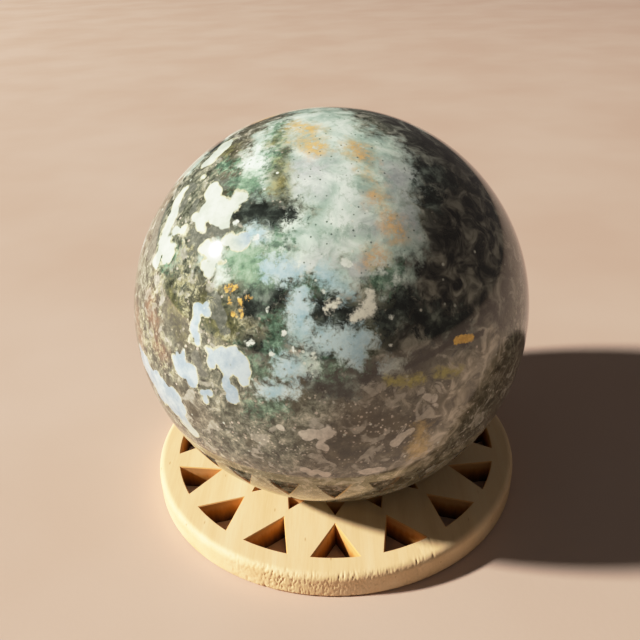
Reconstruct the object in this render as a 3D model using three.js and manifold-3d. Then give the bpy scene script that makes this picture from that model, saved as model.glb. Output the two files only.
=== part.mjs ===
// A polished stone sphere resting in the round seat of a pierced wooden ring stand.
//
// Millimetres, +Z up. The origin is the centre of the stand's underside, on the surface it stands on.
// The grain of the stand's wood runs along Y, and the middle of one pierced ray points along -Y.

import * as THREE from "three";
import { mergeVertices } from "three/addons/utils/BufferGeometryUtils.js";
import Module from "manifold-3d";

// ---------- driving dimensions ----------

const STAND_DIAMETER = 80;
const STAND_THICKNESS = 5.5;
const TOP_ROUNDING = 1.3; // the rim's upper edge, sanded round
const BOTTOM_ROUNDING = 0.7; // the rim's lower edge, eased

const SPHERE_DIAMETER = 79;
const SEAT_DIAMETER = 37; // the through hole that the sphere sits in
const SEAT_BEVEL = 1; // width of the slope that touches the sphere, measured outwards
const CONTACT_GAP = 0.25; // clearance between the sphere and the slope under it

const RAYS = 16; // pierced rays round the stand
const OUTER_APEX = 27; // each large triangle points inwards from its curved base
const OUTER_BASE = 35.4;
const OUTER_HALF_ANGLE = 7.35; // degrees, from a ray's middle to the corner of its base
const INNER_APEX = 24.4; // each small triangle points outwards from its straight base
const INNER_BASE = 20.9;
const INNER_HALF_WIDTH = 1.85;

// ---------- fineness of the round surfaces ----------

const RIM_SIDES = 96; // a whole number for each ray, so that every ray is alike
const ROUNDING_STEPS = 3;
const BASE_STEPS = 4;
const SPHERE_SIDES = 64;
const CUT_MARGIN = 1; // how far a cutter runs past each face

// ---------- derived sizes ----------

const standRadius = STAND_DIAMETER / 2;
const sphereRadius = SPHERE_DIAMETER / 2;
const seatRadius = SEAT_DIAMETER / 2;

// The slope lies along the sphere, so its middle, where the two touch, fixes the sphere's height.
const contactRadius = seatRadius + SEAT_BEVEL / 2;
const contactSlope = Math.asin(contactRadius / sphereRadius);
const bevelDrop = SEAT_BEVEL * Math.tan(contactSlope);
const contactHeight = STAND_THICKNESS - bevelDrop / 2;
const sphereHeight =
  contactHeight + sphereRadius * Math.cos(contactSlope) + CONTACT_GAP / Math.cos(contactSlope);

// ---------- materials ----------

const agate = new THREE.MeshStandardMaterial({ color: 0x6f7a70, roughness: 0.08, metalness: 0 });
const limewood = new THREE.MeshStandardMaterial({ color: 0xe6cd9c, roughness: 0.6, metalness: 0 });

// ---------- booleans ----------

const wasm = await Module();
wasm.setup();

function toSolid(geometry) {
  const bare = geometry.index ? geometry.toNonIndexed() : geometry.clone();
  bare.deleteAttribute("normal");
  bare.deleteAttribute("uv");
  const merged = mergeVertices(bare, 1e-4);
  return new wasm.Manifold(
    new wasm.Mesh({
      numProp: 3,
      vertProperties: merged.attributes.position.array,
      triVerts: new Uint32Array(merged.index.array),
    }),
  );
}

function toGeometry(solid) {
  const { vertProperties, triVerts } = solid.getMesh();
  const geometry = new THREE.BufferGeometry();
  geometry.setAttribute("position", new THREE.BufferAttribute(vertProperties, 3));
  geometry.setIndex(new THREE.BufferAttribute(triVerts, 1));
  geometry.computeVertexNormals();
  return geometry;
}

// ---------- the stand ----------

// A quarter turn of the rim's section, from angle start to angle end about (r, z).
function roundedEdge(r, z, radius, start, end) {
  return Array.from({ length: ROUNDING_STEPS + 1 }, (_, i) => {
    const a = THREE.MathUtils.lerp(start, end, i / ROUNDING_STEPS);
    return new THREE.Vector2(r + radius * Math.cos(a), z + radius * Math.sin(a));
  });
}

// The ring turned about its axis: straight seat wall, slope for the sphere, flat top, rounded rim, flat underside.
function plainRing() {
  const quarter = Math.PI / 2;
  const low = roundedEdge(standRadius - BOTTOM_ROUNDING, BOTTOM_ROUNDING, BOTTOM_ROUNDING, -quarter, 0);
  const high = roundedEdge(
    standRadius - TOP_ROUNDING,
    STAND_THICKNESS - TOP_ROUNDING,
    TOP_ROUNDING,
    0,
    quarter,
  );
  const section = [
    new THREE.Vector2(seatRadius, 0),
    ...low,
    ...high,
    new THREE.Vector2(seatRadius + SEAT_BEVEL, STAND_THICKNESS),
    new THREE.Vector2(seatRadius, STAND_THICKNESS - bevelDrop),
    new THREE.Vector2(seatRadius, 0),
  ];
  // A lathe turns about Y, so the ring is laid down to stand on Z.
  return new THREE.LatheGeometry(section, RIM_SIDES).rotateX(quarter);
}

// A point in the plane of the stand, at an angle from the ray's middle; the middle points along -Y.
function onRay(radius, angle) {
  return new THREE.Vector2(radius * Math.sin(angle), -radius * Math.cos(angle));
}

function outerTriangle() {
  const half = THREE.MathUtils.degToRad(OUTER_HALF_ANGLE);
  const base = Array.from({ length: BASE_STEPS + 1 }, (_, i) =>
    onRay(OUTER_BASE, THREE.MathUtils.lerp(-half, half, i / BASE_STEPS)),
  );
  return new THREE.Shape([onRay(OUTER_APEX, 0), ...base]);
}

function innerTriangle() {
  return new THREE.Shape([
    new THREE.Vector2(0, -INNER_APEX),
    new THREE.Vector2(INNER_HALF_WIDTH, -INNER_BASE),
    new THREE.Vector2(-INNER_HALF_WIDTH, -INNER_BASE),
  ]);
}

function cutter(shape, angle) {
  const depth = STAND_THICKNESS + 2 * CUT_MARGIN;
  const prism = new THREE.ExtrudeGeometry(shape, { depth, bevelEnabled: false });
  return toSolid(prism.translate(0, 0, -CUT_MARGIN).rotateZ(angle));
}

function makeStand() {
  let ring = toSolid(plainRing());
  for (let ray = 0; ray < RAYS; ray++) {
    const angle = (2 * Math.PI * ray) / RAYS;
    ring = ring.subtract(cutter(outerTriangle(), angle)).subtract(cutter(innerTriangle(), angle));
  }
  const stand = new THREE.Mesh(toGeometry(ring), limewood);
  stand.name = "wooden_ring_stand";
  return stand;
}

// ---------- the sphere ----------

function makeSphere() {
  const sphere = new THREE.Mesh(
    new THREE.SphereGeometry(sphereRadius, SPHERE_SIDES, SPHERE_SIDES / 2),
    agate,
  );
  sphere.rotation.x = Math.PI / 2; // the poles stand on Z
  sphere.position.z = sphereHeight;
  sphere.name = "stone_sphere";
  return sphere;
}

const ornament = new THREE.Group();
ornament.add(makeStand(), makeSphere());

export default ornament;
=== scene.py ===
# %% [markdown]
# # A polished stone ball on a pierced wooden ring
#
# The object is a ball of moss agate, a little under 80 mm across, that rests in the round seat of a flat
# ring of pale limewood. This lesson dresses it in Blender. The construction is already there as a fixed
# frame: two solids at their real size, in metres, +Z up, with the origin under the middle of the ring. Each
# is replaced by a finer piece in the same place, so nothing here moves or grows.

# %% The fixed frame
import math

import bmesh
import bpy
import numpy as np
from mathutils import Matrix, Vector, noise


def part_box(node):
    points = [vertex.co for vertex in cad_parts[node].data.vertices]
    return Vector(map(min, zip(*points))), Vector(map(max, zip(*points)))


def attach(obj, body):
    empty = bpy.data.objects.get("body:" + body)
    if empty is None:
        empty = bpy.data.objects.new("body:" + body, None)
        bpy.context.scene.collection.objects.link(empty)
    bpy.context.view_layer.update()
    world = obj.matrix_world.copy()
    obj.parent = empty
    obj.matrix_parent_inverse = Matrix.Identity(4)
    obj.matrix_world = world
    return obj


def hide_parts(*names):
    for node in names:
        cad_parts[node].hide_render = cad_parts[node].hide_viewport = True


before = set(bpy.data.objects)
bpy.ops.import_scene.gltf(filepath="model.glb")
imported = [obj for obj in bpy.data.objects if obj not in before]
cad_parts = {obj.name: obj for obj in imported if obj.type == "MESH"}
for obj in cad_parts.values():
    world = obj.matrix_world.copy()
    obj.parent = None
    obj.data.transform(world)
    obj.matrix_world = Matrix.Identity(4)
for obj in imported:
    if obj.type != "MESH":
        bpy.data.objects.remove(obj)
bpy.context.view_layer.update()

MM = 0.001

# %% [markdown]
# ## Three helpers
#
# Colours are given as sRGB hex values, but shaders add and multiply light, so one function turns
# them to linear. One more adds a node with its settings and its links, for shaders and geometry trees
# alike. The last wraps vertices and faces in an object that sits at the origin, with its place in its mesh.


# %% Helpers
def linear(code):
    """An sRGB hex colour such as "d9e6dc" as linear RGBA."""
    channels = [int(code[i : i + 2], 16) / 255 for i in (0, 2, 4)]
    return [c / 12.92 if c <= 0.04045 else ((c + 0.055) / 1.055) ** 2.4 for c in channels] + [1.0]


def add(tree, kind, inputs=None, stops=None, **settings):
    """Adds a node. An input is a value or the socket to link from, and stops are a colour ramp's."""
    made = tree.nodes.new(kind)
    for name, value in settings.items():
        setattr(made, name, value)
    for socket, value in (inputs or {}).items():
        if isinstance(value, bpy.types.NodeSocket):
            tree.links.new(value, made.inputs[socket])
        else:
            made.inputs[socket].default_value = value
    for i, (place, code) in enumerate(stops or []):
        element = made.color_ramp.elements[i] if i < 2 else made.color_ramp.elements.new(place)
        element.position = place
        element.color = linear(code)
    return made


def make_object(name, vertices, faces):
    """A mesh object at the origin, unturned and unscaled."""
    mesh = bpy.data.meshes.new(name)
    mesh.from_pydata(vertices, [], faces)
    mesh.update()
    piece = bpy.data.objects.new(name, mesh)
    bpy.context.scene.collection.objects.link(piece)
    return piece


# %% [markdown]
# ## Camera
#
# A camera with a normal lens looks down on the object by about 30 degrees, from 17 cm away. A longer lens
# from further off would frame it as well, but close up the ball is seen in strong perspective: it looms over
# its ring and hides the back of it.

# %% Camera
CAMERA_PLACE = Vector((1.9, -128.1, 108.2)) * MM
CAMERA_PITCH = math.radians(29.14)  # down from the horizon
CAMERA_HEADING = math.radians(-1.89)  # to the right of straight ahead
CAMERA_ROLL = math.radians(-2.25)
CAMERA_LENS = 39.3  # mm, on the default 36 mm sensor

lens = bpy.data.cameras.new("camera")
lens.lens = CAMERA_LENS
lens.clip_start = 5 * MM
lens.clip_end = 50
camera = bpy.data.objects.new("camera", lens)
camera.matrix_world = (
    Matrix.Translation(CAMERA_PLACE)
    @ Matrix.Rotation(-CAMERA_HEADING, 4, "Z")
    @ Matrix.Rotation(math.pi / 2 - CAMERA_PITCH, 4, "X")
    @ Matrix.Rotation(CAMERA_ROLL, 4, "Z")
)
bpy.context.scene.collection.objects.link(camera)
bpy.context.scene.camera = camera
print("camera to origin, mm:", round(CAMERA_PLACE.length / MM, 1))

# %% [markdown]
# ## Light
#
# Low light from the left models the ball: it leaves one small round highlight, carries the shadow off to
# the right, and rakes across the ring so that its piercings read. A sun lamp would do as well, but with a
# disc at a known distance it is plain that its size sets both the shadow's edge and the highlight. This one
# is small enough for a clear shadow and large enough for a soft edge. The world adds a weak even fill, so
# the shadow side keeps its colour.

# %% Light
KEY_DIRECTION = Vector((-0.837, -0.07, 0.541)).normalized()  # from the object to the light
KEY_DISTANCE = 6.0  # m
KEY_SIZE = 0.5  # m across
KEY_POWER = 640.0  # W
FILL_STRENGTH = 0.09

key = bpy.data.lights.new("key_light", "AREA")
key.shape = "DISK"
key.size = KEY_SIZE
key.energy = KEY_POWER
key.color = linear("fff9f0")[:3]
key_object = bpy.data.objects.new("key_light", key)
key_object.matrix_world = Matrix.Translation(KEY_DIRECTION * KEY_DISTANCE) @ (
    KEY_DIRECTION.to_track_quat("Z", "Y").to_matrix().to_4x4()
)
bpy.context.scene.collection.objects.link(key_object)

world = bpy.data.worlds.new("pale_room")
world.use_nodes = True
background = world.node_tree.nodes["Background"]
background.inputs["Color"].default_value = linear("f6e6dc")
background.inputs["Strength"].default_value = FILL_STRENGTH
bpy.context.scene.world = world
print("key light:", round(math.degrees(math.asin(KEY_DIRECTION.z)), 1), "degrees up")

# %% [markdown]
# ## Development
#
# Sunlit pale wood and milky stone are close to white, and a plain view transform would clip them there. The
# picture is developed like a print instead: a curve lifts the middle a little and bends over in a shoulder,
# so that light up to 1.6 times white still keeps its colour.

# %% The shoulder curve
SHOULDER = [(0.0, 0.0), (0.2, 0.22), (0.6, 0.66), (1.0, 0.92), (1.6, 1.0)]  # light in, light out
view = bpy.context.scene.view_settings
view.view_transform = "Standard"
view.use_curve_mapping = True
brightest = SHOULDER[-1][0]
view.curve_mapping.white_level = (brightest,) * 3
combined = view.curve_mapping.curves[3]
for light_in, light_out in SHOULDER[1:-1]:
    combined.points.new(light_in / brightest, light_out)
view.curve_mapping.update()
print("shoulder:", len(combined.points), "points")

# %% [markdown]
# ## Floor
#
# The object stands on a plain pale floor of painted plaster, which is stage and no part of the object. One
# large square is enough, as no edge of it comes into view. Soft clouds of two near beiges and a fine grit
# keep it from looking like plastic, and it stays matt, so that it mirrors nothing.

# %% Floor
FLOOR_HALF = 6.0  # m
CLOUD_SIZE = 83.0  # mm
GRIT_SIZE = 1.11  # mm


def painted_plaster():
    """Matt emulsion over fine plaster: a soft warm beige that barely changes from place to place."""
    material = bpy.data.materials.new("painted_plaster")
    material.use_nodes = True
    tree = material.node_tree
    shader = tree.nodes["Principled BSDF"]
    place = add(tree, "ShaderNodeTexCoord").outputs["Object"]
    cloud = add(tree, "ShaderNodeTexNoise", {"Vector": place, "Scale": 1 / (CLOUD_SIZE * MM), "Detail": 3.0})
    tint = add(
        tree,
        "ShaderNodeValToRGB",
        {"Fac": cloud.outputs["Fac"]},
        stops=[(0.35, "c4ab9b"), (0.65, "cab3a4")],
    )
    grit = add(tree, "ShaderNodeTexNoise", {"Vector": place, "Scale": 1 / (GRIT_SIZE * MM), "Detail": 4.0})
    relief = {"Height": grit.outputs["Fac"], "Strength": 0.15, "Distance": 0.1 * MM}
    bump = add(tree, "ShaderNodeBump", relief)
    tree.links.new(tint.outputs["Color"], shader.inputs["Base Color"])
    tree.links.new(bump.outputs["Normal"], shader.inputs["Normal"])
    shader.inputs["Roughness"].default_value = 0.75
    return material


floor = make_object(
    "floor",
    [(x * FLOOR_HALF, y * FLOOR_HALF, 0.0) for x, y in ((-1, -1), (1, -1), (1, 1), (-1, 1))],
    [(0, 1, 2, 3)],
)
floor.data.materials.append(painted_plaster())
print("floor:", FLOOR_HALF * 2, "m wide")

# %% [markdown]
# ## The ring stand: form
#
# The real stand is laser-cut from a thin limewood board, and its rim is sanded round by hand. Where the rim
# crosses the ends of the grain, at the front and the back, the sanding tears small pits out of it, and a
# blunt blade has torn a row of slits at the front right. A lathe gives the plain ring: a section of a few
# arcs and straight runs, turned about Z in enough steps to carry the torn wood as real relief. A Screw
# modifier could turn the section, but the torn wood would then need another pass.

# %% Ring sizes, in mm
stand_low, stand_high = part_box("wooden_ring_stand")
RING_RADIUS = (stand_high.x - stand_low.x) / 2 / MM
RING_HEIGHT = (stand_high.z - stand_low.z) / MM
SEAT_RADIUS = 18.5
SEAT_BEVEL = 1.0
SEAT_DROP = 0.55  # the slope under the ball falls by this much
TOP_ROUNDING = 1.3
BOTTOM_ROUNDING = 0.7
BROW_WIDTH = 4.0  # the outermost stretch of the top, with the finer faces that torn wood needs
print("ring, mm:", round(RING_RADIUS * 2, 2), "across,", round(RING_HEIGHT, 2), "thick")


# %% The section
def arc(r, z, radius, start, end, steps):
    """Points of a section's arc about (r, z), from one angle to another in quarter turns."""
    angles = np.linspace(start, end, steps + 1) * math.pi / 2
    return [(r + radius * math.cos(a), z + radius * math.sin(a)) for a in angles]


def straight(start, end, steps):
    """Points of a straight run without its two ends."""
    return [tuple(np.array(start) + (np.array(end) - start) * i / steps) for i in range(1, steps)]


def ring_section():
    """The ring's closed section, as (r, z) in mm, from the seat's foot outwards and back over the top."""
    foot = arc(RING_RADIUS - BOTTOM_ROUNDING, BOTTOM_ROUNDING, BOTTOM_ROUNDING, -1, 0, steps=6)
    brow = arc(RING_RADIUS - TOP_ROUNDING, RING_HEIGHT - TOP_ROUNDING, TOP_ROUNDING, 0, 1, steps=9)
    brow_end = (RING_RADIUS - BROW_WIDTH, RING_HEIGHT)
    lip = (SEAT_RADIUS + SEAT_BEVEL, RING_HEIGHT)
    return [
        (SEAT_RADIUS, 0.0),
        *straight((SEAT_RADIUS, 0.0), foot[0], steps=4),
        *foot,
        *straight(foot[-1], brow[0], steps=14),
        *brow,
        *straight(brow[-1], brow_end, steps=8),
        *straight(brow_end, lip, steps=8),
        lip,
        (SEAT_RADIUS, RING_HEIGHT - SEAT_DROP),
    ]


print("section:", len(ring_section()), "points")


# %% Torn wood, in mm
TORN_DEPTH = 0.36
TORN_FROM, TORN_FULL = 0.80, 0.92  # cosine of the angle round from the grain's direction
TORN_RIM_FROM, TORN_RIM_FULL = 1.9, 0.4  # in from the rim
PATCH_SIZE = 6.0
PATCHINESS = 0.55  # how much the depth changes from patch to patch
FIBRE_SIZE = (0.34, 3.0, 0.6)  # across, along the grain and up
SPLINTER_SIZE = (0.8, 5.0, 2.2)
SPLINTER_SHARE = 0.5  # weight of the splinters beside the fibres
TORN_BIAS = 0.08  # above 0, more than half of the surface is torn

CHATTER_DEPTH = 0.4
CHATTER_AT, CHATTER_SPREAD = 32, 14  # degrees round from the front, and to either side of that
CHATTER_INSET = 3.0  # the slits are deepest this far in from the rim, and gone at the rim
SLIT_WIDTH, SLIT_LENGTH = 0.42, 3.5
SLIT_LEAN = 4.0  # over this length a slit moves sideways by its own width
SLIT_SLICE = 7.0  # the slice of the noise that is used
SLIT_THRESHOLD = 0.22  # only the tops of the noise become slits


def ramp(value, start, end):
    """0 at the start, 1 at the end, straight between them and level beyond."""
    return min(1.0, max(0.0, (value - start) / (end - start)))


def torn_grain(x, y, z, r):
    """How deep a pit the sanding left at a point: only where the rim crosses the ends of the grain."""
    across = ramp(abs(y) / r, TORN_FROM, TORN_FULL)
    rim = ramp(r, RING_RADIUS - TORN_RIM_FROM, RING_RADIUS - TORN_RIM_FULL)
    patchy = 1 - PATCHINESS + PATCHINESS * noise.noise(Vector((x, y, 0)) / PATCH_SIZE)
    fibres = noise.noise(Vector((x / FIBRE_SIZE[0], y / FIBRE_SIZE[1], z / FIBRE_SIZE[2])))
    splinters = noise.noise(Vector((x / SPLINTER_SIZE[0], y / SPLINTER_SIZE[1], z / SPLINTER_SIZE[2])))
    return TORN_DEPTH * rim * across * patchy * max(0.0, fibres + SPLINTER_SHARE * splinters + TORN_BIAS)


def chatter(x, y, r):
    """How deep the slits are that a blunt blade tore along the grain, to the right of the front."""
    off_middle = abs(math.degrees(math.atan2(x, -y)) - CHATTER_AT)
    off_inset = abs(r - (RING_RADIUS - CHATTER_INSET))
    near = max(0.0, 1 - off_middle / CHATTER_SPREAD) * max(0.0, 1 - off_inset / CHATTER_INSET)
    slits = noise.noise(Vector((x / SLIT_WIDTH + y / SLIT_LEAN, y / SLIT_LENGTH, SLIT_SLICE)))
    return CHATTER_DEPTH * near * max(0.0, slits - SLIT_THRESHOLD)


print("deepest pit and slit, mm: under", TORN_DEPTH, "and", CHATTER_DEPTH)


# %% The turned ring
TURN_STEPS = 1152
CROWDING = 0.25  # makes the steps half as long at the front and the back, and half as long again at the sides
TOP_SHARE = 0.6  # share of the upper rounding's height that counts as top
PIT_SLOPE = 0.6  # a pit in the top falls by this share of how far it is set back


def turned_ring():
    """The ring before it is pierced: its section turned about Z, with the torn wood pressed in."""
    section = ring_section()
    count = len(section)
    vertices = []
    for turn in range(TURN_STEPS):
        even = 2 * math.pi * turn / TURN_STEPS
        angle = even - CROWDING * math.sin(2 * even)
        for r, z in section:
            x, y = r * math.sin(angle), -r * math.cos(angle)
            pit = torn_grain(x, y, z, r)
            inward = (r - pit) / r
            on_top = z > RING_HEIGHT - TOP_SHARE * TOP_ROUNDING
            lowered = z - pit * PIT_SLOPE - chatter(x, y, r) if on_top else z
            vertices.append((x * inward * MM, y * inward * MM, lowered * MM))
    faces = []
    for turn in range(TURN_STEPS):
        here, there = turn * count, (turn + 1) % TURN_STEPS * count
        for i in range(count):
            j = (i + 1) % count
            faces.append((here + i, here + j, there + j, there + i))
    return make_object("ring_blank", vertices, faces)


ring_blank = turned_ring()
print("blank ring:", len(ring_blank.data.polygons), "faces")

# %% [markdown]
# ## The ring stand: piercings
#
# The ring is pierced by sixteen pairs of triangles, which leave a sun of rays between them: in each pair a
# large one points inwards from a curved base near the rim, and a small one points outwards from beside the
# seat. The top could be drawn face by face round them, but a cut is simpler and works as the laser does. One
# pair of cutters is drawn, and a geometry tree repeats it round the axis, so that the number of rays is one
# input. The cutters flare a little at the top, which leaves the softened arris of a cut edge that was
# sanded once.

# %% Piercing sizes, in mm
RAYS = 16
OUTER_APEX = 27.0
OUTER_BASE = 35.4
OUTER_HALF_ANGLE = math.radians(7.35)
INNER_APEX = 24.4
INNER_BASE = 20.9
INNER_HALF_WIDTH = 1.85
ARRIS = 0.18  # width of the softened edge
CUT_MARGIN = 1.0


# %% One ray's cutters
BASE_POINTS = 7  # along the curved base of the large triangle
SHARPEST_MITRE = 0.35  # keeps a grown corner from running away


def outer_outline():
    """The large triangle's outline, anticlockwise, with its curved base."""
    angles = np.linspace(-OUTER_HALF_ANGLE, OUTER_HALF_ANGLE, BASE_POINTS)
    base = [(OUTER_BASE * math.sin(a), -OUTER_BASE * math.cos(a)) for a in angles]
    return [(0.0, -OUTER_APEX)] + base


def inner_outline():
    """The small triangle's outline, anticlockwise."""
    return [(0.0, -INNER_APEX), (INNER_HALF_WIDTH, -INNER_BASE), (-INNER_HALF_WIDTH, -INNER_BASE)]


def grown(outline, distance):
    """The outline with every side moved outwards by a distance."""
    count = len(outline)
    points = [Vector(p) for p in outline]
    moved = []
    for i, point in enumerate(points):
        before = (point - points[i - 1]).normalized()
        after = (points[(i + 1) % count] - point).normalized()
        out_before, out_after = Vector((before.y, -before.x)), Vector((after.y, -after.x))
        middle = (out_before + out_after).normalized()
        moved.append(point + middle * distance / max(SHARPEST_MITRE, middle.dot(out_after)))
    return moved


def ray_cutters():
    """Both cutters of one ray: upright walls, then a flare from just under the top of the ring."""
    vertices, faces = [], []
    heights = (-CUT_MARGIN, RING_HEIGHT - ARRIS, RING_HEIGHT + CUT_MARGIN)
    growths = (0.0, 0.0, ARRIS + CUT_MARGIN)
    for outline in (outer_outline(), inner_outline()):
        start, count = len(vertices), len(outline)
        for z, growth in zip(heights, growths):
            vertices += [(p[0] * MM, p[1] * MM, z * MM) for p in grown(outline, growth)]
        for level in range(len(heights) - 1):
            low = start + level * count
            for i in range(count):
                j = (i + 1) % count
                faces.append((low + i, low + j, low + j + count, low + i + count))
        faces.append(tuple(start + i for i in reversed(range(count))))
        faces.append(tuple(start + (len(heights) - 1) * count + i for i in range(count)))
    return make_object("ray_cutters", vertices, faces)


cutters = ray_cutters()
print("one ray's cutters:", len(cutters.data.polygons), "faces")

# %% [markdown]
# ## Finish: limewood
#
# Limewood is pale, even and almost without figure. Under raking light it shows fine straight fibres along
# the board, faint broader bands from the growth rings, and a few short brown flecks. It is sanded and
# unoiled, so it is matt. A picture of wood could be wrapped on, but it would repeat and stretch. Noise
# squeezed along the grain runs right through the solid as the fibres do, so top and rim agree. The grain
# runs along Y.

# %% Limewood
BAND_WIDTH = 3.57  # mm
FIBRE_WIDTH = 0.385  # mm, a few real fibres in one, as single ones are too fine to show
FLECK_SPACING = 2.22  # mm
GRAIN_SQUEEZE = 0.06  # the pattern's pace along the grain, as a share of its pace across it
FLECK_SQUEEZE = 0.3


def limewood():
    """Sanded bare limewood: matt, with a fibre relief of a few hundredths of a millimetre."""
    material = bpy.data.materials.new("sanded_limewood")
    material.use_nodes = True
    tree = material.node_tree
    shader = tree.nodes["Principled BSDF"]
    place = add(tree, "ShaderNodeTexCoord").outputs["Object"]
    squeezed = {"Vector": place, "Scale": (1 / MM, GRAIN_SQUEEZE / MM, 1 / MM)}
    along = add(tree, "ShaderNodeMapping", squeezed).outputs[0]
    bands = add(tree, "ShaderNodeTexNoise", {"Vector": along, "Scale": 1 / BAND_WIDTH, "Detail": 2.0})
    fine = {"Vector": along, "Scale": 1 / FIBRE_WIDTH, "Detail": 5.0, "Roughness": 0.65}
    fibres = add(tree, "ShaderNodeTexNoise", fine)
    figure = add(
        tree,
        "ShaderNodeMix",
        {0: 0.4, 2: bands.outputs["Fac"], 3: fibres.outputs["Fac"]},
        data_type="FLOAT",
    )
    tint = add(
        tree,
        "ShaderNodeValToRGB",
        {"Fac": figure.outputs[0]},
        stops=[(0.3, "e2c190"), (0.5, "edce9f"), (0.72, "f3daaf")],
    )
    shorter = {"Vector": place, "Scale": (1 / MM, FLECK_SQUEEZE / MM, 1 / MM)}
    short = add(tree, "ShaderNodeMapping", shorter).outputs[0]
    flecks = add(tree, "ShaderNodeTexVoronoi", {"Vector": short, "Scale": 1 / FLECK_SPACING})
    fleck = add(
        tree,
        "ShaderNodeMapRange",
        {"Value": flecks.outputs["Distance"], "From Min": 0.1, "From Max": 0.03, "To Max": 0.55},
        interpolation_type="SMOOTHSTEP",
    )
    colour = add(
        tree,
        "ShaderNodeMix",
        {0: fleck.outputs[0], 6: tint.outputs["Color"], 7: linear("a8794a")},
        data_type="RGBA",
    )
    relief = {"Height": fibres.outputs["Fac"], "Strength": 0.35, "Distance": 0.06 * MM}
    bump = add(tree, "ShaderNodeBump", relief)
    tree.links.new(colour.outputs[2], shader.inputs["Base Color"])
    tree.links.new(bump.outputs["Normal"], shader.inputs["Normal"])
    shader.inputs["Roughness"].default_value = 0.62
    shader.inputs["IOR"].default_value = 1.45
    return material


wood = limewood()
print("limewood:", len(wood.node_tree.nodes), "nodes")

# %% [markdown]
# ## Finish: scorched cuts
#
# A laser burns its way through, so the walls of the piercings are brown, streaked from top to bottom, and
# slightly rough with char. They also run from dark brown at the foot to amber at the top, which is painted
# shade: the low part of each narrow piercing is darkened where shade falls. The char and the shade could be
# painted on each wall. They are worked out instead from a noise stretched upright and the height in the
# board, which suits every wall.

# %% Scorched limewood
STREAK_WIDTH = 1.25  # mm
STREAK_SQUEEZE = 0.3  # the pattern's pace from top to bottom, as a share of its pace across


def scorched_limewood():
    """Wood charred by a laser: brown, streaked and matt, and darkened towards the foot in painted shade."""
    material = bpy.data.materials.new("laser_scorched_limewood_and_painted_shade")
    material.use_nodes = True
    tree = material.node_tree
    shader = tree.nodes["Principled BSDF"]
    place = add(tree, "ShaderNodeTexCoord").outputs["Object"]
    squeezed = {"Vector": place, "Scale": (1 / MM, 1 / MM, STREAK_SQUEEZE / MM)}
    upright = add(tree, "ShaderNodeMapping", squeezed).outputs[0]
    coarse = {"Vector": upright, "Scale": 1 / STREAK_WIDTH, "Detail": 4.0, "Roughness": 0.6}
    streaks = add(tree, "ShaderNodeTexNoise", coarse)
    # The height in the board darkens the foot of each wall and lightens its top: this is painted shade, laid
    # over the char's streaks.
    height = add(tree, "ShaderNodeSeparateXYZ", {0: place})
    share = add(tree, "ShaderNodeMapRange", {"Value": height.outputs["Z"], "From Max": RING_HEIGHT * MM})
    burn_and_painted_shade = add(
        tree,
        "ShaderNodeMath",
        {0: streaks.outputs["Fac"], 1: 0.45, 2: share.outputs[0]},
        operation="MULTIPLY_ADD",
    )
    tint = add(
        tree,
        "ShaderNodeValToRGB",
        {"Fac": burn_and_painted_shade.outputs[0]},
        stops=[(0.25, "382214"), (0.5, "855928"), (0.8, "c88a3d"), (1.0, "e3af6c")],
    )
    relief = {"Height": streaks.outputs["Fac"], "Strength": 0.4, "Distance": 0.1 * MM}
    bump = add(tree, "ShaderNodeBump", relief)
    tree.links.new(tint.outputs["Color"], shader.inputs["Base Color"])
    tree.links.new(bump.outputs["Normal"], shader.inputs["Normal"])
    shader.inputs["Roughness"].default_value = 0.8
    return material


scorched = scorched_limewood()
print("scorched limewood:", len(scorched.node_tree.nodes), "nodes")

# %% [markdown]
# ## The ring stand: rays and cut
#
# The tree places as many points as there are rays, puts the cutters on each and turns each copy by its
# share of a full turn. It ends by making the copies real and giving them the scorched finish, and a plain
# mesh is taken from the result. A boolean then cuts the ring and hands that finish over to every wall it
# makes. It leaves some corners a hair apart, so a weld closes them.


# %% The rays round the axis, as a geometry tree
def rays_tree():
    """Repeats the object's own mesh about Z, then gives it the material of the cut."""
    tree = bpy.data.node_groups.new("rays_round_axis", "GeometryNodeTree")
    for name, kind in (("Geometry", "Geometry"), ("Rays", "Int"), ("Cut finish", "Material")):
        tree.interface.new_socket(name=name, in_out="INPUT", socket_type="NodeSocket" + kind)
    tree.interface.new_socket(name="Geometry", in_out="OUTPUT", socket_type="NodeSocketGeometry")
    given = add(tree, "NodeGroupInput")
    points = add(tree, "GeometryNodePoints", {"Count": given.outputs["Rays"]})
    index = add(tree, "GeometryNodeInputIndex")
    step = add(tree, "ShaderNodeMath", {0: math.tau, 1: given.outputs["Rays"]}, operation="DIVIDE")
    turn = add(tree, "ShaderNodeMath", {0: index.outputs[0], 1: step.outputs[0]}, operation="MULTIPLY")
    about_z = add(tree, "ShaderNodeCombineXYZ", {"Z": turn.outputs[0]})
    copies = add(
        tree,
        "GeometryNodeInstanceOnPoints",
        {"Points": points.outputs[0], "Instance": given.outputs["Geometry"], "Rotation": about_z.outputs[0]},
    )
    real = add(tree, "GeometryNodeRealizeInstances", {"Geometry": copies.outputs[0]})
    finish = add(
        tree,
        "GeometryNodeSetMaterial",
        {"Geometry": real.outputs[0], "Material": given.outputs["Cut finish"]},
    )
    add(tree, "NodeGroupOutput", {"Geometry": finish.outputs[0]})
    return tree


# %% Inputs, and the plain mesh of a result
def set_inputs(modifier, values):
    """Sets a tree's inputs by name, through the identifier that each socket has."""
    for item in modifier.node_group.interface.items_tree:
        if item.item_type == "SOCKET" and item.in_out == "INPUT" and item.name in values:
            modifier[item.identifier] = values[item.name]


def plain_copy(source, name):
    """The evaluated object as a plain mesh with no modifiers."""
    evaluated = source.evaluated_get(bpy.context.evaluated_depsgraph_get())
    mesh = bpy.data.meshes.new_from_object(evaluated)
    mesh.name = name
    piece = bpy.data.objects.new(name, mesh)
    bpy.context.scene.collection.objects.link(piece)
    return piece


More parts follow.
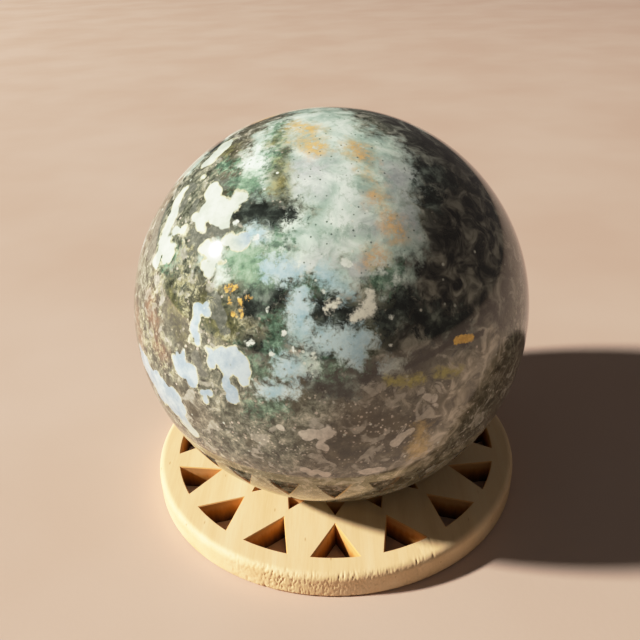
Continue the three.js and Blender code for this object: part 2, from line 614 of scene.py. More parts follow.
repeat = cutters.modifiers.new("rays", "NODES")
repeat.node_group = rays_tree()
set_inputs(repeat, {"Rays": RAYS, "Cut finish": scorched})
all_cutters = plain_copy(cutters, "all_cutters")
bpy.data.objects.remove(cutters)
print("cutters:", len(all_cutters.data.polygons), "faces")

# %% The pierced ring
WELD_DISTANCE = 0.002 * MM
SHARP_ANGLE = math.radians(35)


def weld(piece, distance):
    """Merges what a cut left a hair apart, and takes out the slivers."""
    work = bmesh.new()
    work.from_mesh(piece.data)
    bmesh.ops.remove_doubles(work, verts=work.verts, dist=distance)
    bmesh.ops.dissolve_degenerate(work, edges=work.edges, dist=distance)
    bmesh.ops.triangulate(work, faces=[f for f in work.faces if len(f.verts) > 4])
    print("open edges:", sum(not e.is_manifold for e in work.edges))
    work.to_mesh(piece.data)
    work.free()


ring_blank.data.materials.append(wood)
cut = ring_blank.modifiers.new("piercings", "BOOLEAN")
cut.operation = "DIFFERENCE"
cut.solver = "EXACT"
cut.material_mode = "TRANSFER"
cut.object = all_cutters
ring_stand = plain_copy(ring_blank, "limewood_ring_stand")
bpy.data.objects.remove(ring_blank)
bpy.data.objects.remove(all_cutters)
weld(ring_stand, WELD_DISTANCE)
ring_stand.data.shade_smooth()
ring_stand.data.set_sharp_from_angle(angle=SHARP_ANGLE)
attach(ring_stand, "root")
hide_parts("wooden_ring_stand")
print("pierced ring:", len(ring_stand.data.polygons), "faces")

# %% [markdown]
# ## The stone ball: form
#
# A stone ball is ground between three cups that turn against it, which makes a very true sphere. An
# icosphere or a UV sphere has uneven faces or poles, so a cube's grid is blown out to the sphere instead:
# near-even quads with no pole, fine enough to carry the map of minerals that the finish reads.

# %% The ball
ball_low, ball_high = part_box("stone_sphere")
BALL_RADIUS = (ball_high.x - ball_low.x) / 2
BALL_CENTRE = (ball_low + ball_high) / 2
GRID = 120  # quads along each edge of the cube


def blown_cube(radius, centre, grid):
    """A cube's grid pushed out to a sphere, with the seams between its sides shared."""
    steps = np.tan(np.linspace(-math.pi / 4, math.pi / 4, grid + 1))  # even angles, so near-even quads
    numbers, points, faces = {}, [], []

    def vertex(side, i, j):
        corner = [steps[i], steps[j]]
        corner.insert(side % 3, 1.0 if side < 3 else -1.0)
        key = tuple(round(c, 6) for c in corner)
        if key not in numbers:
            numbers[key] = len(points)
            points.append(corner)
        return numbers[key]

    for side in range(6):
        for i in range(grid):
            for j in range(grid):
                quad = [vertex(side, *c) for c in ((i, j), (i + 1, j), (i + 1, j + 1), (i, j + 1))]
                outwards = (side < 3) != (side % 3 == 1)
                faces.append(quad if outwards else quad[::-1])
    points = np.array(points)
    points *= radius / np.linalg.norm(points, axis=1)[:, None]
    return points + np.array(centre), faces


ball_points, ball_faces = blown_cube(BALL_RADIUS, BALL_CENTRE, GRID)
ball = make_object("moss_agate_ball", ball_points.tolist(), ball_faces)
ball.data.shade_smooth()
print("ball, mm:", round(BALL_RADIUS * 2 / MM, 2), "across,", len(ball_faces), "quads")

# %% [markdown]
# ## The stone ball: where the minerals lie
#
# Moss agate is a jumble: milky chalcedony, dark moss, brown jasper, and clear-edged lakes of white and pale
# blue that filled the last hollows. No single noise makes that, and painting a texture would tie the stone
# to one size of image. So each mineral is laid out as a few rounded strokes, as one would sketch it
# on a globe: from one place to another, with a half width. A place is degrees round from the front to the
# right, and degrees up. The far side has no story to tell, so its strokes are drawn at random, from a fixed
# seed, in the sizes and the numbers of the near side.
#
# Every vertex then learns how deep inside each mineral's strokes it lies, in millimetres: more than 0
# inside, less outside. The finish breaks those edges up.

# %% Strokes: (from, to, half width), in degrees
STROKES = {
    # brown stone under the equator, to the right, and scraps of it at the left
    "bronze": [
        ((6, -4), (70, -4), 10),
        ((8, -26), (60, -26), 18),
        ((6, 5), (36, 5), 5),
        ((-66, 60), (-58, 66), 3),
        ((-58, 16), (-50, 10), 4),
        ((-42, 43), (-40, 42), 2),
    ],
    # olive moss at the top and the left
    "olive": [
        ((-42, 73), (-38, 70), 2),
        ((-26, 66), (-22, 60), 1.4),
        ((-22, 59), (-19, 56), 2.8),
        ((-32, 25), (-25, 21), 3.5),
        ((-70, 62), (-64, 62), 2),
        ((-47, 26), (-40, 16), 2),
    ],
    # grey skins round the lakes at the upper left
    "pewter": [
        ((-50, 53), (-44, 54), 1.8),
        ((-61, 45), (-60, 43), 1.8),
        ((-54, 46.5), (-53, 45), 1.6),
        ((-37, 43), (-33, 41.5), 2.4),
        ((-46, 40), (-41, 40), 2),
        ((-28, 53), (-24, 53.5), 1.6),
        ((-66, 47), (-64, 49), 2),
        ((-74, 38), (-66, 30), 3),
        ((-44, 36), (-41, 38), 2),
        ((-30, 26), (-26, 20), 2),
        ((-34, 13), (-33, 8), 1.5),
    ],
    # sandy grains at the left
    "sand": [
        ((-47, 35), (-43, 28), 2),
        ((-40, 27), (-36, 23), 2),
        ((-56, 24), (-52, 20), 2.5),
        ((-21, 25), (-19, 21), 1.5),
        ((-16, 24), (-15.5, 21), 1),
        ((-50, 11), (-46, 6), 2.4),
        ((-34, 30), (-31, 28), 1.2),
        ((-60, 12), (-55, 6), 3),
        ((-24, 19), (-21, 18), 1.2),
    ],
    # the dark, smoky quarter at the right, partly painted shade: dark stone laid over the ball's unlit side
    "smoke_and_painted_shade": [
        ((100, 70), (62, 60), 8),
        ((64, 58), (46, 48), 8.5),
        ((80, 48), (60, 36), 9),
        ((52, 42), (38, 36), 9),
        ((46, 30), (27, 27), 8.5),
        ((20, 19), (42, 20), 6),
        ((56, 28), (48, 20), 8),
        ((28, 37), (24, 36), 3.5),
        ((4, 12), (20, 12), 2.5),
    ],
    # nearly black stone that breaks through the moss and the smoke
    "night": [
        ((20, 27), (15, 23), 3.5),
        ((24, 22), (34, 18), 4),
        ((48, 55), (57, 52), 4),
        ((41, 48), (44, 50), 3),
        ((-29, 48), (-18, 48.5), 3.8),
        ((-18, 48), (-13, 49), 2.6),
        ((-28, 50), (-27, 53), 1.6),
        ((-18, 28.5), (-13, 30), 4),
        ((-12, 31), (-10, 33), 2),
        ((-19, 18), (-13, 17), 2),
        ((-11, 22), (-10, 20), 1.4),
        ((-1, 31), (3, 28.5), 2.2),
        ((-2, 27), (4, 24), 4.2),
        ((-4, 18), (-3, 23), 1.6),
        ((-1, 17), (1, 12), 2.6),
        ((-4, 11), (4, 9.5), 3.2),
        ((2, 15), (9, 12), 2.4),
    ],
    # green tufts round the dark stone
    "moss": [
        ((-50, 60), (-58, 58), 1.6),
        ((-40, 55), (-32, 56), 2.6),
        ((-26, 37), (-17, 36), 3),
        ((-20, 40), (-14, 42), 1.8),
        ((-53, 31), (-51, 32), 2),
        ((-13, 24), (-12, 13), 2),
        ((-22, 15), (-16, 12), 2.2),
        ((-1, 14), (6, 15), 1.8),
        ((-8, 32), (2, 33), 1.4),
        ((-60, 77), (-42, 72), 2),
        ((-36, 68), (-25, 62), 1.8),
        ((14, 32), (18, 34), 2),
        ((-18, 2), (-12, 4), 2.4),
    ],
    # the broad milky cap and its tongues
    "milk": [
        ((-60, 77), (-36, 62), 4),
        ((-10, 84), (0, 60), 9),
        ((0, 75), (26, 62), 9),
        ((5, 60), (8, 44), 10),
        ((22, 55), (20, 44), 8),
        ((38, 68), (32, 56), 6),
        ((-10, 44), (2, 42), 5.5),
        ((-16, 42), (-6, 38), 3),
        ((-34, 60), (-26, 55), 3.2),
        ((-33, 36), (-29, 34), 2.6),
        ((8, 36), (18, 34), 2.5),
    ],
    # the whitest, faintly green parts of the milk
    "mint": [
        ((-13, 41), (-2, 43), 2.4),
        ((-4, 44), (5, 47), 2.2),
        ((5, 56), (8, 50), 3),
        ((-48, 73), (-38, 62), 3),
    ],
    # greyish lilac clouds in the milk
    "lilac": [
        ((-10, 62), (-3, 62), 3.5),
        ((-6, 57), (2, 58), 3),
        ((0, 38), (8, 36), 3.5),
        ((34, 58), (28, 46), 4),
        ((10, 52), (14, 46), 3),
    ],
    # rusty stains in the milk
    "rust": [
        ((-40, 79), (-14, 77), 2.4),
        ((-16, 72), (-6, 69), 2.8),
        ((18, 68), (22, 65), 2.4),
        ((20, 60), (20, 57), 1.2),
        ((20.5, 53), (22, 43), 1.9),
        ((13, 38), (15, 38), 1.5),
    ],
    # blue-grey mist over the dark middle
    "mist": [
        ((-7, 29), (-6.5, 21), 2.3),
        ((-15, 36), (-9, 35), 2.4),
        ((-10, 14), (-5, 14.5), 2.6),
        ((-15, 8), (-9, 8), 1.8),
        ((-1.5, 20.5), (8, 20), 2.2),
        ((4, 18), (6, 16), 2),
        ((-24, 43), (-21, 43), 1.8),
        ((0, 35), (4, 32), 2.2),
        ((14, 12.5), (18, 13), 1),
    ],
    # the lakes: white at the upper left, pale blue lower down
    "lake": [
        ((-44, 47), (-39.5, 47.5), 3.8),
        ((-51, 51.5), (-47, 50.5), 1.6),
        ((-37, 50.5), (-32, 52), 1.4),
        ((-48, 43.5), (-44, 41.5), 1.4),
        ((-37, 45), (-35, 45), 1.8),
        ((-69, 46), (-64, 42), 1.9),
        ((-63, 40), (-59, 33), 2.7),
        ((-58, 34), (-55, 33), 2.9),
        ((-59, 30), (-58, 28), 1.8),
        ((-56, 38), (-52, 39), 1),
        ((-72, 57), (-77, 62), 2.8),
        ((-63, 53), (-62, 53), 0.8),
        # the next two whites lie where the key light's highlight falls, and are partly a painted highlight
        ((-38, 37), (-34, 35.5), 2.2),
        ((-37, 34), (-35, 33), 1.8),
        ((-30, 41), (-25, 40.5), 1.8),
        ((-35, 23.5), (-33, 23.8), 1.3),
        ((-35.3, 21), (-35, 17.5), 1.5),
        ((-34.7, 16.5), (-34.2, 15), 0.8),
        ((-40, 8), (-36, 6.5), 2.8),
        ((-36.5, 6), (-36, 4.5), 1.8),
        ((-38.5, 12.5), (-38.5, 11), 0.7),
        ((-29, 14), (-27.8, 13.5), 1.4),
        ((-29, 12), (-29, 11), 0.9),
        ((-24.5, 14), (-20, 12.5), 2.1),
        ((-24.5, 11.5), (-19, 11.5), 1.5),
        ((-23, 15.5), (-22.5, 15), 1.2),
        ((-20.5, 10), (-20, 9), 1),
        ((-27, 12.2), (-26, 12), 0.8),
        ((-62, -0.5), (-55, -3), 3.4),
        ((-52, -4), (-45, -5.5), 5),
        ((-43, -8), (-41, -13), 2.4),
        ((-33, 3), (-30, 3.5), 1.2),
        ((-31.5, 1.5), (-31.3, 0.5), 0.8),
        ((-25, 7), (-22.5, 3.5), 1.4),
    ],
    # where mist and lakes turn blue
    "sky": [
        ((-60, 0), (-20, 9), 14),
        ((-35, 22), (-34, 15), 4),
        ((-13, 35), (8, 18), 8),
        ((-24, 43), (-21, 43), 3),
    ],
    # one cream-coloured comma and its crumb
    "cream": [
        ((11, 29.5), (10.5, 26.5), 1.2),
        ((9.5, 26), (6.5, 25), 1.1),
        ((0.3, 27.3), (2, 28.4), 0.8),
    ],
    # single round white dots
    "dots": [
        ((-15, 26.7), (-15, 26.5), 0.5),
        ((-10.5, 21.7), (-10.5, 21.5), 0.6),
        ((-8, 18.2), (-8, 18), 0.5),
        ((-3.6, 17), (-3.4, 16.6), 0.65),
        ((-13.5, 16.8), (-13.2, 16.6), 0.6),
        ((-18.6, 19), (-18.5, 18.8), 0.5),
        ((-20, 18.6), (-19.8, 18.3), 0.55),
        ((-4, 12.4), (-3.9, 12.2), 0.45),
        ((-31, 45), (-30.7, 45), 0.75),
        ((-22.5, 42.3), (-22, 42.5), 0.7),
        ((5.2, 37.5), (6, 37), 0.9),
        ((-1, 31.2), (-0.6, 31), 0.4),
        ((14.5, 18), (14.7, 18), 0.4),
        ((15.5, 24.5), (16, 24), 0.45),
    ],
    # pinkish grey islands at the bottom
    "blush": [
        ((-5, -4), (-1, -3), 1.8),
        ((-3, -4), (-2, -7), 1.2),
        ((-7, -17), (-1, -18), 0.9),
        ((8, -18), (14, -18), 1.3),
        ((24, 3), (25, 1), 1.1),
        ((-12, -2), (-11, -3), 1),
        ((18, -6), (16, -9), 1.4),
    ],
    # a broken yellow-green line
    "citron": [((13.5, 9.6), (22, 8.5), 0.9), ((26, 8.4), (32, 7.6), 1)],
    # oat-coloured curls at the lower right, partly a painted reflection of the lit floor that the ball
    # mirrors there
    "oat_and_painted_reflection": [
        ((34, 6), (38, 2), 3),
        ((34, 2), (31, -8), 4),
        ((29, -11), (22, -20), 4),
        ((47, 14), (42, 4), 3),
    ],
    # darker brown in the bronze
    "umber": [((8, -3), (34, -4), 6), ((3, -9), (26, -14), 5)],
    # fields of fine white grains
    "salt": [
        ((1, -1), (8, -6), 2.5),
        ((12, -2), (17, -9), 3),
        ((5, 5), (10, 3), 1.5),
        ((-16, -6), (-8, -9), 3),
    ],
    # a honey-coloured stain at the bottom
    "honey": [((22, -5), (22, -8), 1.5), ((21.5, -11), (22.5, -14), 2.2)],
    # a dark seam
    "seam": [((18, 12), (30.5, 15), 0.75), ((38, 14.3), (41, 14.2), 0.8)],
    # one bar of gold-yellow in the seam
    "gold": [((32.3, 15), (36.8, 14.3), 1)],
    # a yellower heart in the olive moss
    "ochre": [
        ((-42, 73), (-38, 70), 1.6),
        ((-25, 64), (-22, 62), 1),
        ((-22, 59), (-19, 56), 2.2),
    ],
    # pale green haze
    "celadon": [
        ((-27, 38), (-18, 36), 3),
        ((-24, 34), (-18, 34), 2),
        ((-36, 57), (-32, 56), 1.5),
    ],
    # reddish brown at the far left
    "russet": [
        ((-56, 18), (-52, 15), 2.2),
        ((-50, 10), (-47, 8), 1.4),
        ((-66, 10), (-62, 4), 2.5),
    ],
    # a cluster of amber grains
    "amber": [
        ((-27, 30), (-25.8, 29.8), 0.7),
        ((-24, 30.6), (-23.8, 30.5), 0.5),
        ((-22.5, 27.8), (-22.4, 27), 0.55),
        ((-25.8, 27.2), (-25.6, 27), 0.5),
        ((-20.4, 29), (-20.3, 28.6), 0.35),
        ((-22, 25), (-21.8, 24.8), 0.4),
        ((-24.5, 24.5), (-24, 24.3), 0.5),
    ],
}
print("strokes on the near side:", sum(len(strokes) for strokes in STROKES.values()))

# %% How strokes are scattered on the far side, in degrees
WILD_SEED = 7
WILD_NEAREST = 82  # how far round from the front the far side begins
CLEAR_ABOVE = 30  # above this the far side shows over the top of the ball, so it begins further round
CLEARANCE = 0.85  # by this much for each degree
WILD_LIFT = 0.35  # most that a stroke moves up or down, as a share of its height
POLAR_ABOVE = 50
POLAR_DROP = 0.25  # strokes near the top come down by this share, so that they don't crowd the pole
WILD_STRETCH = (0.8, 2.2)
WILD_WIDTH = (0.5, 1.1)
FAR_OUTSIDE = -20.0  # mm, the depth where no stroke is near
MM_PER_DEGREE = math.radians(1) * BALL_RADIUS / MM
print("one degree on the ball, mm:", round(MM_PER_DEGREE, 3))


# %% The mineral map on the ball
def direction(place):
    """A unit vector from degrees round from the front, to the right, and degrees up."""
    round_by, up_by = (math.radians(v) for v in place)
    outwards = math.cos(up_by)
    return np.array([math.sin(round_by) * outwards, -math.cos(round_by) * outwards, math.sin(up_by)])


def wild_strokes(strokes, chance):
    """Strokes for the far side, each a near one turned and stretched at random."""
    wild = []
    for start, end, half_width in strokes:
        nearest = WILD_NEAREST + CLEARANCE * max(0, start[1] - CLEAR_ABOVE)
        turn = chance.uniform(nearest, 360 - nearest) - start[0]
        drop = POLAR_DROP * start[1] if start[1] > POLAR_ABOVE else 0
        lift = chance.uniform(-WILD_LIFT, WILD_LIFT) * start[1] - drop
        stretch = chance.uniform(*WILD_STRETCH)
        wild.append(
            (
                (start[0] + turn, start[1] + lift),
                (start[0] + turn + (end[0] - start[0]) * stretch, end[1] + lift),
                half_width * chance.uniform(*WILD_WIDTH),
            )
        )
    return wild


def depth_in_strokes(directions, strokes):
    """Millimetres inside the edge of the nearest stroke, and below 0 outside."""
    best = np.full(len(directions), FAR_OUTSIDE)
    for start, end, half_width in strokes:
        a, b = direction(start), direction(end)
        run = b - a
        share = (directions - a) @ run / (run @ run)
        nearest = a + np.clip(share, 0, 1)[:, None] * run
        nearest /= np.linalg.norm(nearest, axis=1)[:, None]
        away = np.degrees(np.arccos(np.clip((directions * nearest).sum(axis=1), -1, 1)))
        best = np.maximum(best, (half_width - away) * MM_PER_DEGREE)
    return best


chance = np.random.default_rng(WILD_SEED)
directions = (ball_points - np.array(BALL_CENTRE)) / BALL_RADIUS
for mineral, strokes in STROKES.items():
    depth = depth_in_strokes(directions, strokes + wild_strokes(strokes, chance))
    ball.data.attributes.new(mineral, "FLOAT", "POINT").data.foreach_set("value", depth)
    print(f"{mineral}: {(depth > 0).mean():.1%} of the ball")

# %% [markdown]
# ## Finish: polished moss agate
#
# Chalcedony is quartz in fibres too fine to see, ground and buffed to a glassy polish, so its colour lies
# still under a sharp mirror. Light enters it a little, but a body this dense looks the same with a plain
# base colour. One noise with many colours would give a stone that is alike all over. Here each layer is one
# mineral laid over the last. Its mask is the depth in its strokes plus a noise whose grain is the mineral's
# own, cut softly where the mineral fades into its neighbour and sharply where it has a skin. What lies in
# every stone of this kind, such as clouds, crumbs, freckles and specks, has no strokes: it opens in patches
# where a noise runs high, or as round grains in some cells of a Voronoi pattern. All scales are millimetres
# on Object coordinates, centred on the ball.

# %% Noises, by what they look like: size in mm, detail, roughness, distortion
NOISES = {
    "clouds": (9.0, 3.0, 0.5, 0.0),
    "wisps": (5.0, 7.0, 0.6, 0.5),
    "tufts": (3.2, 7.0, 0.68, 0.0),
    "mottles": (2.8, 5.0, 0.6, 0.15),
    "curls": (3.4, 4.0, 0.55, 0.9),
    "crumbs": (1.9, 6.0, 0.75, 0.4),
    "dust": (1.0, 5.0, 0.7, 0.0),
}

# %% Layers of the stone, from the ground up
# strokes: the mineral whose strokes it follows, where that isn't its own name
# edge: the noise that breaks the edge, how far it moves it and how softly the edge ends, in mm
# grow: how far the edge then lies outside the strokes, in mm
# within: the layer that it keeps to
# cells: size of the cells in mm, the share that hold a grain, and where a grain starts and ends fading
# patches: a noise, and the values between which its patches open
# cover: how much of what lies below it hides, where that isn't all
# tint: a noise, and the colours from its low values to its high ones
GROUND = ("crumbs", [(0.36, "2e332a"), (0.44, "515648"), (0.52, "757a6a"), (0.6, "9fa08e"), (0.7, "d9d8c6")])
LAYERS = {
    # the ground's own changes: brown fields, dark and chalky clouds
    "bronze": {
        "edge": ("wisps", 12.0, 3.0),
        "tint": ("crumbs", [(0.34, "37382d"), (0.44, "575749"), (0.54, "7f7e6e"), (0.66, "bab8a7")]),
    },
    "umber": {
        "edge": ("wisps", 10.0, 2.5),
        "cover": 0.9,
        "tint": ("mottles", [(0.38, "2d2d21"), (0.5, "444333"), (0.62, "696652")]),
    },
    "umber_clouds": {
        "patches": ("clouds", 0.48, 0.62),
        "cover": 0.5,
        "tint": ("tufts", [(0.4, "3b3628"), (0.6, "5c5640")]),
    },
    "chalk_clouds": {
        "patches": ("curls", 0.55, 0.63),
        "cover": 0.75,
        "tint": ("dust", [(0.4, "9fa093"), (0.6, "c3c3b7")]),
    },
    # grains and crumbs
    "sugar": {
        "cells": (0.85, 0.6, 0.14, 0.28),
        "patches": ("tufts", 0.46, 0.53),
        "cover": 0.85,
        "tint": ("crumbs", [(0.4, "9f9a8a"), (0.6, "dedaca")]),
    },
    "pale_crumbs": {
        "cells": (1.2, 0.4, 0.16, 0.27),
        "patches": ("mottles", 0.46, 0.54),
        "cover": 0.8,
        "tint": ("dust", [(0.4, "b6ad9f"), (0.6, "e2dacc")]),
    },
    "salt": {
        "edge": ("dust", 8.0, 2.0),
        "cells": (0.75, 0.75, 0.14, 0.34),
        "patches": ("crumbs", 0.42, 0.5),
        "tint": ("dust", [(0.4, "c5c1b3"), (0.6, "ece8dc")]),
    },
    # pale curls at the lower right, partly a painted reflection of the lit floor
    "oat_and_painted_reflection": {
        "edge": ("curls", 12.0, 3.0),
        "cover": 0.8,
        "tint": ("curls", [(0.38, "7b7762"), (0.48, "aaa68f"), (0.6, "d8d3bf")]),
    },
    # moss and sand at the left
    "olive": {
        "edge": ("crumbs", 10.0, 1.6),
        "cover": 0.85,
        "tint": ("crumbs", [(0.4, "3c3e26"), (0.55, "65663f"), (0.66, "8f8f60")]),
    },
    "pewter": {
        "edge": ("lobes", 1.9, 0.2),
        "tint": ("dust", [(0.3, "51564c"), (0.5, "6c7066"), (0.68, "8a8e82")]),
    },
    "sand": {
        "edge": ("crumbs", 12.0, 1.0),
        "patches": ("crumbs", 0.5, 0.56),
        "cover": 0.85,
        "tint": ("dust", [(0.36, "717156"), (0.48, "9c9c7d"), (0.58, "c4c4a8"), (0.68, "dcdcc4")]),
    },
    # the dark quarter, partly painted shade laid over the ball's unlit side
    "smoke_and_painted_shade": {
        "edge": ("crumbs", 16.0, 2.2),
        "tint": ("curls", [(0.38, "282926"), (0.46, "43443e"), (0.53, "66685f"), (0.66, "a1a598")]),
    },
    # the milky cap, with what lies in it
    "milk": {
        "edge": ("tufts", 16.0, 2.2),
        "tint": ("wisps", [(0.34, "9bb3a9"), (0.45, "bad0c5"), (0.54, "d5e8dc"), (0.64, "eaf8ee")]),
    },
    "lilac": {
        "edge": ("tufts", 14.0, 3.5),
        "within": "milk",
        "cover": 0.65,
        "tint": ("dust", [(0.35, "a4a5ab"), (0.65, "cbccd1")]),
    },
    "mint": {
        "edge": ("wisps", 12.0, 2.5),
        "within": "milk",
        "cover": 0.85,
        "tint": ("wisps", [(0.4, "c6e0d2"), (0.6, "ecfaf1")]),
    },
    "green_haze": {
        "within": "milk",
        "patches": ("crumbs", 0.52, 0.64),
        "cover": 0.45,
        "tint": ("dust", [(0.4, "6f8a7c"), (0.6, "9db3a6")]),
    },
    # dark stone and green tufts, over the milk
    "night": {
        "edge": ("crumbs", 12.0, 1.2),
        "tint": ("mottles", [(0.41, "191e1b"), (0.5, "2a312d"), (0.58, "47514a"), (0.67, "7d8a80")]),
    },
    "moss": {
        "edge": ("dust", 12.0, 1.6),
        "cover": 0.9,
        "tint": ("crumbs", [(0.36, "2b3d32"), (0.47, "4b6855"), (0.57, "75967f"), (0.68, "a9c3ac")]),
    },
    "celadon": {
        "edge": ("tufts", 10.0, 2.5),
        "cover": 0.85,
        "tint": ("tufts", [(0.4, "7d9e86"), (0.6, "adc9b2")]),
    },
    "ochre": {
        "edge": ("tufts", 9.0, 2.0),
        "cover": 0.75,
        "tint": ("crumbs", [(0.4, "575a38"), (0.52, "827e50"), (0.64, "b0a873")]),
    },
    "russet": {
        "edge": ("tufts", 8.0, 2.5),
        "cover": 0.6,
        "tint": ("dust", [(0.4, "6b4a34"), (0.6, "9c765a")]),
    },
    # stains and freckles on the milk
    "rust": {
        "edge": ("tufts", 8.0, 2.2),
        "patches": ("dust", 0.28, 0.6),
        "cover": 0.9,
        "tint": ("dust", [(0.4, "c0954f"), (0.6, "e3ba76")]),
    },
    "freckles": {
        "cells": (0.85, 0.3, 0.1, 0.27),
        "within": "milk",
        "patches": ("tufts", 0.44, 0.52),
        "cover": 0.85,
        "tint": ("dust", [(0.4, "2f3f38"), (0.6, "51635a")]),
    },
    # mist and lakes, each turned blue in places
    "mist": {
        "edge": ("crumbs", 9.0, 1.3),
        "patches": ("dust", 0.3, 0.48),
        "cover": 0.9,
        "tint": ("tufts", [(0.4, "b0c8c0"), (0.6, "d3e4da")]),
    },
    "lake_skin": {
        "strokes": "lake",
        "edge": ("lobes", 1.9, 0.12),
        "grow": 0.3,
        "patches": ("tufts", 0.44, 0.52),
        "tint": ("dust", [(0.4, "b9bd9c"), (0.6, "dcdfc4")]),
    },
    "lake": {
        "edge": ("lobes", 1.9, 0.12),
        "tint": ("tufts", [(0.4, "c2cec3"), (0.6, "d6e1d5")]),
    },
    "sky_in_mist": {
        "strokes": "sky",
        "edge": ("clouds", 6.0, 2.0),
        "within": "mist",
        "tint": ("tufts", [(0.4, "9fc2cf"), (0.6, "c4dce2")]),
    },
    "sky_in_lake": {
        "strokes": "sky",
        "edge": ("clouds", 6.0, 2.0),
        "within": "lake",
        "tint": ("tufts", [(0.4, "9bb3c2"), (0.6, "c0d2d8")]),
    },
    # small single marks
    "cream": {
        "edge": ("dust", 4.0, 0.5),
        "tint": ("dust", [(0.4, "cfd2c3"), (0.6, "e6e8da")]),
    },
    "dots": {
        "edge": ("dust", 1.5, 0.15),
        "tint": ("dust", [(0.4, "cfdbd0"), (0.6, "e9f1e8")]),
    },
    "specks": {
        "cells": (2.0, 0.2, 0.09, 0.17),
        "patches": ("clouds", 0.42, 0.54),
        "cover": 0.9,
        "tint": ("dust", [(0.4, "c3cfc4"), (0.6, "e3ebe1")]),
    },
    "blush": {
        "edge": ("lobes", 1.9, 0.15),
        "tint": ("dust", [(0.4, "bcbbae"), (0.6, "d8d7cb")]),
    },
    # yellow and dark lines
    "citron": {
        "edge": ("crumbs", 5.0, 0.8),
        "patches": ("dust", 0.3, 0.45),
        "tint": ("dust", [(0.4, "8f8c3c"), (0.6, "b9b55e")]),
    },
    "honey": {
        "edge": ("crumbs", 8.0, 1.8),
        "cover": 0.8,
        "tint": ("dust", [(0.4, "bfa55c"), (0.6, "dcc580")]),
    },
    "seam": {
        "edge": ("dust", 1.6, 0.3),
        "cover": 0.9,
        "tint": ("dust", [(0.4, "141310"), (0.6, "282620")]),
    },
    "gold": {
        "edge": ("dust", 1.5, 0.15),
        "tint": ("dust", [(0.4, "d6a42a"), (0.6, "fbd055")]),
    },
    "amber": {
        "edge": ("dust", 3.0, 0.2),
        "tint": ("dust", [(0.4, "c8993f"), (0.6, "e8c373")]),
    },
}
print("stone:", len(LAYERS), "layers over the ground")


# %% Masks of strokes and of grains
def stroke_mask(tree, mineral, noise_value, reach, softness, grow):
    """The strokes of a mineral, grown, with an edge that the noise moves by up to half its reach."""
    depth = add(tree, "ShaderNodeAttribute", attribute_name=mineral)
    moved = {0: noise_value, 1: reach, 2: depth.outputs["Fac"]}
    ragged = add(tree, "ShaderNodeMath", moved, operation="MULTIPLY_ADD")
    middle = reach / 2 - grow
    edge = {"Value": ragged.outputs[0], "From Min": middle - softness, "From Max": middle + softness}
    return add(tree, "ShaderNodeMapRange", edge, interpolation_type="SMOOTHSTEP").outputs[0]


def grain_mask(tree, place, size, share, core, rim):
    """Round grains in a share of the cells, solid to the core and gone at the rim."""
    cells = add(tree, "ShaderNodeTexVoronoi", {"Vector": place, "Scale": 1 / size})
    grain = {"Value": cells.outputs["Distance"], "From Min": rim, "From Max": core}
    shape = add(tree, "ShaderNodeMapRange", grain, interpolation_type="SMOOTHSTEP")
    lot = add(tree, "ShaderNodeSeparateColor", {0: cells.outputs["Color"]})
    chosen = add(tree, "ShaderNodeMath", {0: lot.outputs[0], 1: share}, operation="LESS_THAN")
    both = {0: shape.outputs[0], 1: chosen.outputs[0]}
    return add(tree, "ShaderNodeMath", both, operation="MULTIPLY").outputs[0]


# %% The noises, and one layer's mask
LOBE_SIZE = 2.3  # mm, the round lobes that a lake's skin is made of
LOBE_TOP = 0.85  # the value in the middle of a lobe
LOBE_GRAIN = 0.3  # how much fine noise roughens a lobe


def stone_noises(tree, millimetres):
    """Every noise by its name, and the lobes, as sockets."""
    values = {}
    for name, (size, detail, roughness, distortion) in NOISES.items():
        wanted = {"Vector": millimetres, "Scale": 1 / size, "Detail": detail, "Roughness": roughness}
        wanted["Distortion"] = distortion
        values[name] = add(tree, "ShaderNodeTexNoise", wanted).outputs["Fac"]
    # Lobes are high in the middle of a cell, so a lake bulges in rounds between sharp notches.
    cells = add(tree, "ShaderNodeTexVoronoi", {"Vector": millimetres, "Scale": 1 / LOBE_SIZE})
    bulge = add(tree, "ShaderNodeMath", {0: LOBE_TOP, 1: cells.outputs["Distance"]}, operation="SUBTRACT")
    grained = {0: values["dust"], 1: LOBE_GRAIN, 2: bulge.outputs[0]}
    values["lobes"] = add(tree, "ShaderNodeMath", grained, operation="MULTIPLY_ADD").outputs[0]
    return values


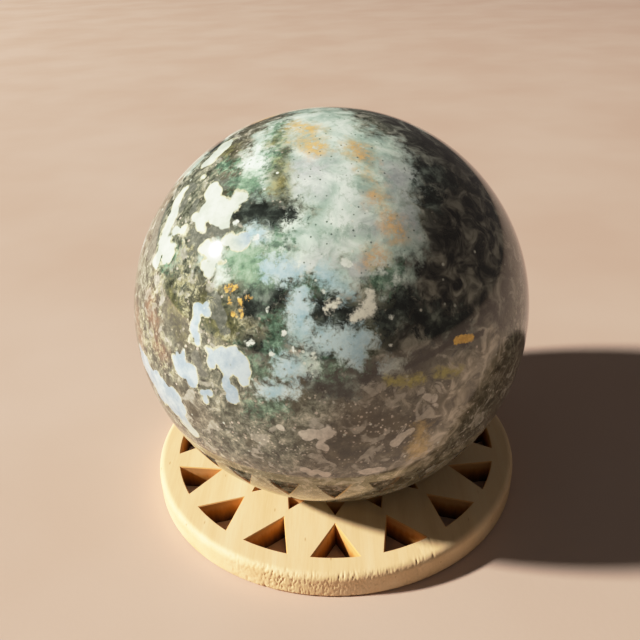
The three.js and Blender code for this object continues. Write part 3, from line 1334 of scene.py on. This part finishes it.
def layer_mask(tree, name, millimetres, values, masks):
    """Where a layer shows: its strokes, its host, its grains, its patches and its cover, multiplied."""
    layer = LAYERS[name]
    factors = []
    if "edge" in layer:
        noise_name, reach, softness = layer["edge"]
        mineral, grow = layer.get("strokes", name), layer.get("grow", 0.0)
        factors.append(stroke_mask(tree, mineral, values[noise_name], reach, softness, grow))
    if "within" in layer:
        factors.append(masks[layer["within"]])
    if "cells" in layer:
        factors.append(grain_mask(tree, millimetres, *layer["cells"]))
    if "patches" in layer:
        noise_name, low, high = layer["patches"]
        opening = {"Value": values[noise_name], "From Min": low, "From Max": high}
        patches = add(tree, "ShaderNodeMapRange", opening, interpolation_type="SMOOTHSTEP")
        factors.append(patches.outputs[0])
    mask = factors[0]
    for factor in factors[1:] + [layer.get("cover", 1.0)]:
        mask = add(tree, "ShaderNodeMath", {0: mask, 1: factor}, operation="MULTIPLY").outputs[0]
    return mask


# %% Polished moss agate
def moss_agate():
    """Buffed chalcedony: its IOR is about 1.54, raised here until the ball mirrors as the real one does."""
    material = bpy.data.materials.new("polished_moss_agate")
    material.use_nodes = True
    tree = material.node_tree
    shader = tree.nodes["Principled BSDF"]
    place = add(tree, "ShaderNodeTexCoord").outputs["Object"]
    centred = {"Vector": place, "Location": tuple(-c / MM for c in BALL_CENTRE), "Scale": (1 / MM,) * 3}
    millimetres = add(tree, "ShaderNodeMapping", centred).outputs[0]
    values = stone_noises(tree, millimetres)

    ground_noise, ground_stops = GROUND
    colour = add(tree, "ShaderNodeValToRGB", {"Fac": values[ground_noise]}, stops=ground_stops).outputs[0]
    masks = {}
    for name, layer in LAYERS.items():
        masks[name] = layer_mask(tree, name, millimetres, values, masks)
        noise_name, stops = layer["tint"]
        tint = add(tree, "ShaderNodeValToRGB", {"Fac": values[noise_name]}, stops=stops).outputs[0]
        laid = {0: masks[name], 6: colour, 7: tint}
        colour = add(tree, "ShaderNodeMix", laid, data_type="RGBA").outputs[2]

    tree.links.new(colour, shader.inputs["Base Color"])
    shader.inputs["Roughness"].default_value = 0.06
    shader.inputs["IOR"].default_value = 1.75
    return material


ball.data.materials.append(moss_agate())
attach(ball, "root")
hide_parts("stone_sphere")
print("finish nodes:", len(ball.data.materials[0].node_tree.nodes))
